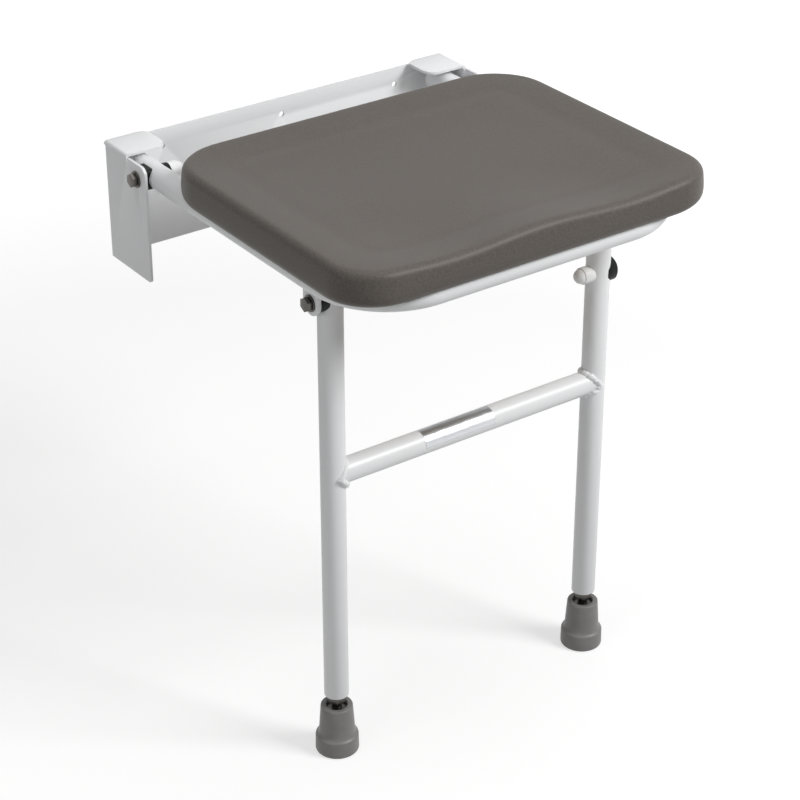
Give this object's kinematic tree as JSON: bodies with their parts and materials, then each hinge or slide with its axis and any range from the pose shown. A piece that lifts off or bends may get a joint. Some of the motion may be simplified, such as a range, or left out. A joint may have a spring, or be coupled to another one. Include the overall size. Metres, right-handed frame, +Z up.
{
  "type": "fold down wall seat",
  "caption": "Wall-mounted folding seat: a padded seat on a bent tube frame hinged in a folded wall bracket, with drop-down legs on adjustable rubber feet.",
  "frame": {"origin": "on the wall plane, at the middle of the top row of wall fixing holes", "axes": "+Z up, +Y into the wall, -Y out into the room towards the sitter, +X along the wall"},
  "size_m": [0.4382, 0.4557, 0.6015],
  "materials": {
    "powder_coat_white": "white powder coat, satin",
    "pad_foam": "moulded polyurethane foam with an integral skin, grey-brown, fine matt texture",
    "board": "sealed plywood",
    "zinc_steel": "zinc plated",
    "black_nylon": "moulded nylon",
    "white_cap": "moulded polyethylene, slightly glossy",
    "black_rubber": "moulded rubber",
    "grey_rubber": "moulded grey rubber"
  },
  "bodies": {
    "wall_bracket": {"wall_bracket": "powder_coat_white"},
    "seat": {"seat_tube": "powder_coat_white", "tube_plugs": "white_cap", "leg_lugs": "powder_coat_white", "front_angle": "powder_coat_white", "rear_strap": "powder_coat_white", "pad_board": "board", "pad_screws": "zinc_steel", "seat_pad": "pad_foam", "wall_saddles": "black_nylon", "wall_pivot_bolts": "zinc_steel", "wall_pivot_washers": "zinc_steel", "wall_pivot_nuts": "zinc_steel", "wall_cap_washers": "black_nylon", "wall_pivot_caps": "white_cap"},
    "leg_frame": {"leg_saddles": "black_nylon", "leg_pivot_bolts": "zinc_steel", "leg_pivot_washers": "zinc_steel", "leg_pivot_nuts": "zinc_steel", "leg_cap_washers": "zinc_steel", "leg_pivot_caps": "white_cap", "leg_tube_left": "powder_coat_white", "leg_tube_right": "powder_coat_white", "crossbar": "powder_coat_white", "leg_plugs": "black_nylon", "leg_inserts": "zinc_steel", "leg_buffer": "black_rubber", "buffer_bolt": "zinc_steel", "buffer_nut": "zinc_steel", "buffer_cap_washer": "zinc_steel", "buffer_cap": "white_cap"},
    "foot_left": {"foot_cup_left": "zinc_steel", "foot_ferrule_left": "grey_rubber"},
    "stud_left": {"foot_stud_left": "zinc_steel"},
    "foot_right": {"foot_cup_right": "zinc_steel", "foot_ferrule_right": "grey_rubber"},
    "stud_right": {"foot_stud_right": "zinc_steel"}
  },
  "joints": [
    {"name": "seat_fold", "type": "hinge", "parent": "wall_bracket", "child": "seat", "pos_m": [0, -0.0644, 0.002], "axis": [-1, 0, 0], "range_deg": [0, 90]},
    {"name": "legs_fold", "type": "hinge", "parent": "seat", "child": "leg_frame", "pos_m": [0, -0.3365, -0.031], "axis": [1, 0, 0], "range_deg": [0, 90]},
    {"name": "foot_left_height", "type": "slide", "parent": "leg_frame", "child": "foot_left", "axis": [0, 0, -1], "range_m": [0, 0.02]},
    {"name": "stud_left_turn", "type": "hinge", "parent": "foot_left", "child": "stud_left", "pos_m": [-0.1633, -0.3365, -0.4913], "axis": [0, 0, 1], "range_deg": [0, 4810]},
    {"name": "foot_right_height", "type": "slide", "parent": "leg_frame", "child": "foot_right", "axis": [0, 0, -1], "range_m": [0, 0.02]},
    {"name": "stud_right_turn", "type": "hinge", "parent": "foot_right", "child": "stud_right", "pos_m": [0.1633, -0.3365, -0.4913], "axis": [0, 0, 1], "range_deg": [0, 4810]}
  ],
  "couplings": [
    {"joint": "legs_fold", "follows": "seat_fold", "ratio": 1},
    {"joint": "stud_left_turn", "follows": "foot_left_height", "rad_per_m": 4188.8},
    {"joint": "stud_right_turn", "follows": "foot_right_height", "rad_per_m": 4188.8}
  ]
}
